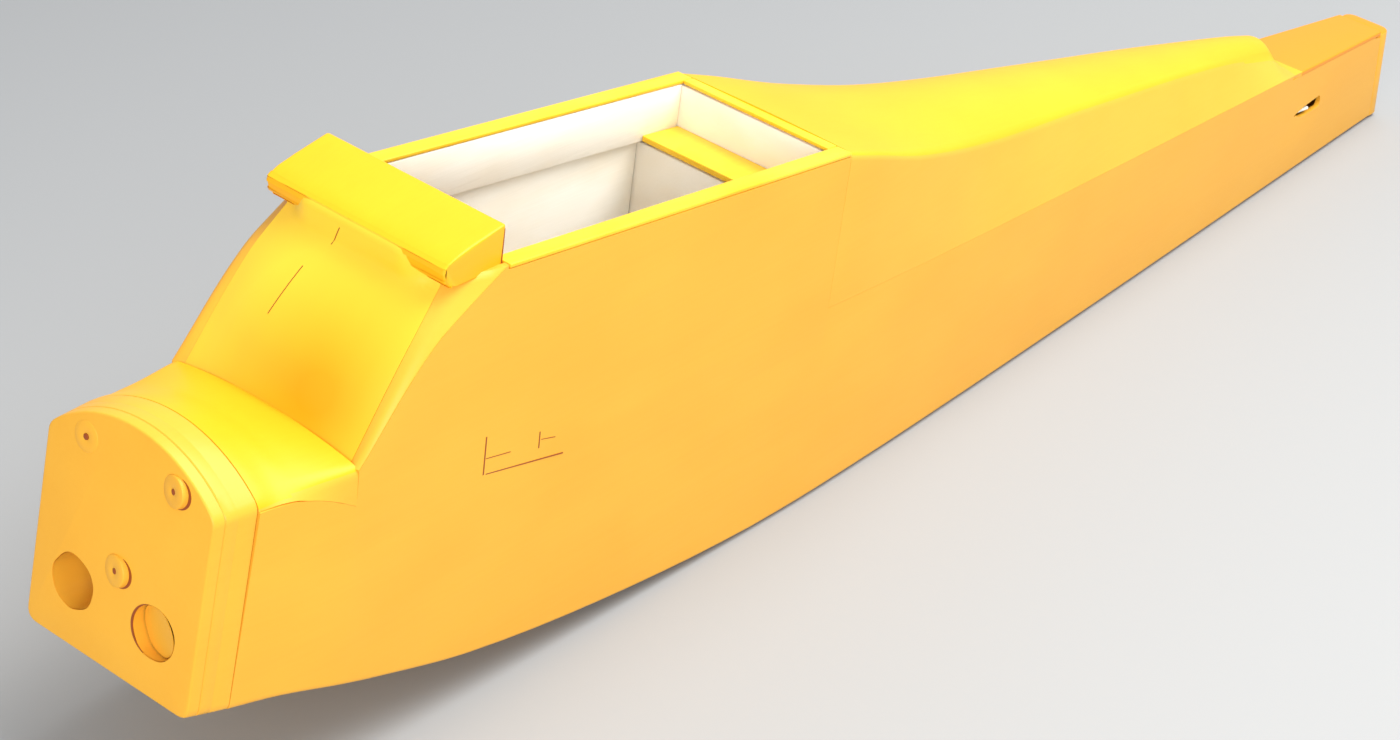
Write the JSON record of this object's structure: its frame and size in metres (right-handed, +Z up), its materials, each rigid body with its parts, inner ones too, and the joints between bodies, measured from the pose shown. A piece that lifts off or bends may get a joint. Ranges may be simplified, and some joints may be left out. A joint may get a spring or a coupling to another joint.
{
  "type": "model aircraft fuselage",
  "caption": "Bare box fuselage of a high-wing trainer model aircraft, with firewall, raked windshield, open wing saddle, turtle deck and tapered tail.",
  "frame": {"origin": "centre of the footprint on the floor that the rear belly rests on", "axes": "+X from the nose to the tail, +Y to starboard, +Z up; the nose stands clear of the floor, as the airframe rests on its rear belly"},
  "size_m": [1.069, 0.112, 0.2402],
  "materials": {
    "film": "orange-yellow heat-shrink covering film over balsa sheet, satin gloss",
    "top_film": "bright yellow heat-shrink covering film, satin gloss",
    "plywood": "bare light plywood, matte",
    "balsa": "bare balsa, pale cream, matte",
    "white_interior": "white painted wood, matte",
    "steel": "zinc plated steel fasteners",
    "nylon": "natural white nylon"
  },
  "bodies": {
    "airframe": {"firewall": "film", "nose_ring": "film", "nose_deck": "top_film", "mount_bolt_port": "steel", "mount_bolt_starboard": "steel", "mount_bolt_lower": "steel", "blind_nut_port": "steel", "blind_nut_starboard": "steel", "blind_nut_lower": "steel", "tank_floor": "plywood", "side_port": "film", "side_starboard": "film", "belly_front": "film", "gear_plate": "plywood", "belly_rear": "film", "windshield": "top_film", "windshield_post_port": "film", "windshield_post_starboard": "film", "leading_edge_block": "top_film", "cabin_front_former": "plywood", "cabin_rear_former": "white_interior", "saddle_bulkhead": "white_interior", "wing_bolt_shelf": "top_film", "saddle_cap_port": "top_film", "saddle_cap_starboard": "top_film", "saddle_cap_rear": "top_film", "saddle_doubler_port": "white_interior", "saddle_doubler_starboard": "white_interior", "cabin_liner_port": "white_interior", "cabin_liner_starboard": "white_interior", "servo_rail_front": "plywood", "servo_rail_rear": "plywood", "turtle_deck": "top_film", "stab_seat": "film", "tail_post": "film", "longeron_port": "balsa", "longeron_starboard": "balsa", "former_front_tail": "plywood", "former_mid_tail": "plywood", "former_rear_tail": "plywood", "guide_tube_elevator": "nylon", "guide_tube_rudder": "nylon"},
    "elevator_rod": {"control_rod_elevator": "nylon"},
    "rudder_rod": {"control_rod_rudder": "nylon"}
  },
  "joints": [
    {"name": "elevator_rod_slide", "type": "slide", "parent": "airframe", "child": "elevator_rod", "axis": [0.9969, -0.0577, -0.0538], "range_m": [-0.012, 0.012]},
    {"name": "rudder_rod_slide", "type": "slide", "parent": "airframe", "child": "rudder_rod", "axis": [0.9965, 0.0577, -0.0601], "range_m": [-0.012, 0.012]}
  ]
}
